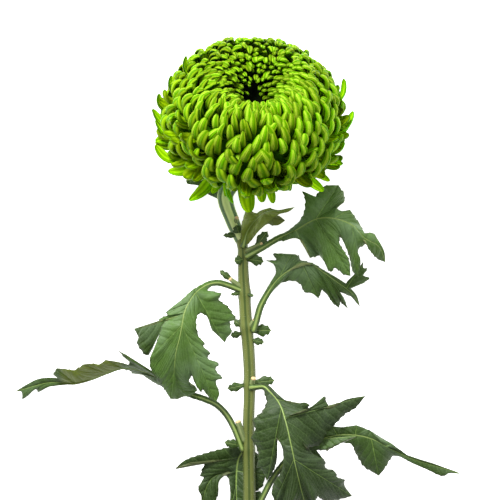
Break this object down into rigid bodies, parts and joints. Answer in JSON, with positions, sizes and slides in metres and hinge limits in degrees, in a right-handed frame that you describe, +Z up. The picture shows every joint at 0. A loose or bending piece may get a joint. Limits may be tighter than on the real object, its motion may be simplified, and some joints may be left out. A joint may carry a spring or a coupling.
{
  "type": "pompon chrysanthemum",
  "caption": "Cut green chrysanthemum lying down: a dense incurved head with a sunken centre, on a ribbed stem with lobed, toothed leaves.",
  "frame": {"origin": "a flat spot under the back of the flower head, on the surface that the flower lies on", "axes": "+Y along the surface from the cut end of the stem towards the head, +Z up from the surface, +X to the right seen from above with the head at the far end"},
  "size_m": [0.2219, 0.2952, 0.0866],
  "materials": {
    "florets": "satin, living petal",
    "stem": "matte, living stem with fine ribs",
    "bracts": "matte, living bract",
    "leaf": "matte with a slight grey bloom, living leaf"
  },
  "bodies": {
    "root": {"stem": "stem", "involucre": "bracts", "bloom": "florets", "leaf_top": "leaf", "leaf_neck": "leaf", "leaf_upper_right": "leaf", "leaf_middle_right": "leaf", "leaf_left": "leaf", "leaf_far_left": "leaf", "leaf_front": "leaf", "leaf_lower_right": "leaf", "leaf_lower_left": "leaf"}
  },
  "joints": []
}
